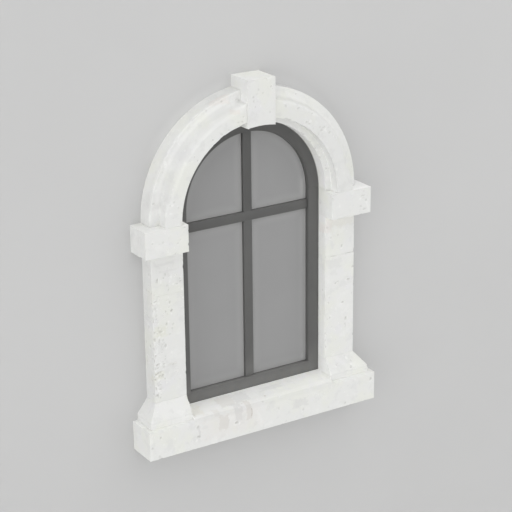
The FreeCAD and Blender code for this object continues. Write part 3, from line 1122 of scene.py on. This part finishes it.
def grey_glass():
    glass = Finish("grey glass")
    film = glass.noise(2.2, 3.0).ramp(0.3, 0.7)
    streak = glass.noise(1.0, 3.0, 0.6, at=glass.scaled(glass.position, (38.0, 1.0, 2.2)))
    streak = streak.ramp(0.60, 0.80)
    x, z = glass.axes(glass.position, "XZ")
    # Dust and painted light: paler near the bars and the frame, against their shade
    to_bars = x.size().smaller((z - transom_middle).size()) - bar_half
    edge = (clear_half - from_arch(glass)[1]).smaller(to_bars.smaller(z - rail_top))
    dust_and_painted_light = edge.ramp(0.070, 0.0) * 0.5 + edge.ramp(0.016, 0.0) * 0.5
    colour = glass.colours(film, (0.304, 0.304, 0.305), (0.314, 0.314, 0.315))
    colour = glass.colours(streak * 0.05, colour, (0.46, 0.46, 0.45))
    colour = glass.colours(dust_and_painted_light * 0.40, colour, (0.52, 0.52, 0.51))
    rough = 0.02 + film * 0.02 + streak * 0.04 + dust_and_painted_light * 0.03
    return glass.principled(Base_Color=colour, Roughness=rough, IOR=1.7)


glass_finish = grey_glass()
panes = [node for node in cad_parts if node.startswith("pane_")]
for node in panes:
    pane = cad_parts[node]
    pane.data.materials.clear()
    pane.data.materials.append(glass_finish)
print("panes:", len(panes))

# %% [markdown]
# A thin rubber seal closes the line between glass and metal.
# The seal is a strip 1 mm wide that stands 4 mm off the glass, so what shows is a fine dark line
# in the corner below and to the right of each pane. Its outline is the pane's own, so a copy of
# the pane is cut down to one face, inset to the edge of the metal, inset again by the strip's
# width, and what is left is extruded away from the glass. Sweeping a curve would do too, but then
# the mitred corners have to be made by hand.

# %% Rubber seals
lip_width, seal_width, seal_height = 0.0118, 0.0010, 0.0040


def closed(strip):
    select_all()
    bpy.ops.mesh.remove_doubles(threshold=1e-6)
    bpy.ops.mesh.normals_make_consistent(inside=False)
    mode("OBJECT")
    bpy.ops.object.shade_smooth_by_angle(angle=math.radians(50))
    return strip


def rubber_seal(node, outwards):
    """The seal on one face of a pane: outwards is -1 for the front and 1 for the back."""
    seal = copy_of(node.replace("pane", "seal_front" if outwards < 0 else "seal_back"), [node])
    mode("EDIT")
    choose(seal, "FACE", lambda face: face.normal.y * outwards < 0.9)
    bpy.ops.mesh.delete(type="FACE")
    select_all()
    bpy.ops.mesh.inset(thickness=lip_width, depth=0)
    select_all("INVERT")
    bpy.ops.mesh.delete(type="FACE")
    select_all()
    bpy.ops.mesh.inset(thickness=seal_width, depth=0)
    bpy.ops.mesh.delete(type="FACE")
    select_all()
    move = {"value": (0, outwards * seal_height, 0)}
    bpy.ops.mesh.extrude_region_move(TRANSFORM_OT_translate=move)
    return closed(seal)


def rubber():
    grey = Finish("dark rubber")
    bloom = grey.noise(70.0, 3.0).ramp(0.4, 0.7)
    colour = grey.colours(bloom, (0.045, 0.045, 0.045), (0.070, 0.070, 0.069))
    return grey.principled(Base_Color=colour, Roughness=0.62 + bloom * 0.1)


rubber_finish = rubber()
seals = []
for node in panes:
    for outwards in (-1, 1):
        seal = rubber_seal(node, outwards)
        seal.data.materials.append(rubber_finish)
        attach(seal, "root")
        seals.append(seal)
print("seals:", {seal.name: len(seal.data.polygons) for seal in seals})

# %% [markdown]
# A dark bead of sealant closes the gap between the frame and the stone.
# It is a round strip 3 mm thick in the corner where the metal meets the reveal. In the photograph
# the dark of the frame reaches right up to the stone, so the bead has about the colour of the
# paint, and is paler under the arch. A disc is added at the springing, spun half a turn over the
# arch, and its two ends are extruded down to the sill. A second, straight strip lies on the sill.
# A swept curve would be as quick, but spin and extrude keep the faces where they are wanted.

# %% Sealant
bead_radius = 0.0015
bead_x, bead_y, bead_z = opening_half - 0.0008, -0.0270, sill_flat + 0.0008
quarter = math.radians(90)


def disc(name, place, turned):
    bpy.ops.object.select_all(action="DESELECT")
    bpy.ops.mesh.primitive_circle_add(
        vertices=12, radius=bead_radius, fill_type="NGON", location=place, rotation=turned
    )
    made = bpy.context.object
    made.name = made.data.name = name
    bpy.ops.object.transform_apply(location=True, rotation=True, scale=True)
    mode("EDIT")
    select_all()
    return made


def drawn_out(x, z):
    bpy.ops.mesh.extrude_region_move(TRANSFORM_OT_translate={"value": (x, 0, z)})


around = disc("sealant_around", (bead_x, bead_y, arch_centre), (0, 0, 0))
bpy.ops.mesh.spin(steps=72, angle=math.pi, center=(0, 0, arch_centre), axis=(0, 1, 0))
choose(around, "VERT", lambda point: abs(point.co.z - arch_centre) < 1e-5)
drawn_out(0, sill_flat - arch_centre)
closed(around)
along = disc("sealant_sill", (-bead_x, bead_y, bead_z), (0, quarter, 0))
drawn_out(2 * bead_x, 0)
closed(along)


def sealant():
    dark = Finish("dark sealant")
    grime = dark.noise(35.0, 3.0, 0.6).ramp(0.45, 0.75)
    colour = dark.colours(grime, (0.130, 0.130, 0.127), (0.175, 0.173, 0.166))
    # Paler under the arch
    overhead = dark.axis(dark.position, "Z").ramp(1.20, 1.45)
    colour = dark.colours(overhead * 0.6, colour, (0.62, 0.62, 0.60))
    wrinkle = dark.noise(240.0, 2.0) * 0.5 + dark.noise(45.0, 2.0)
    return dark.principled(
        Base_Color=colour, Roughness=0.5 + grime * 0.2, Normal=dark.bump(wrinkle, 0.0003)
    )


sealant_finish = sealant()
for strip in (around, along):
    strip.data.materials.append(sealant_finish)
    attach(strip, "root")
print("sealant faces:", len(around.data.polygons), len(along.data.polygons))

# %% Measure, and finish
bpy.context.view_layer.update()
meshes = [piece.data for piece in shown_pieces() if piece.type == "MESH"]
print("triangles", sum(len(face.vertices) - 2 for mesh in meshes for face in mesh.polygons))
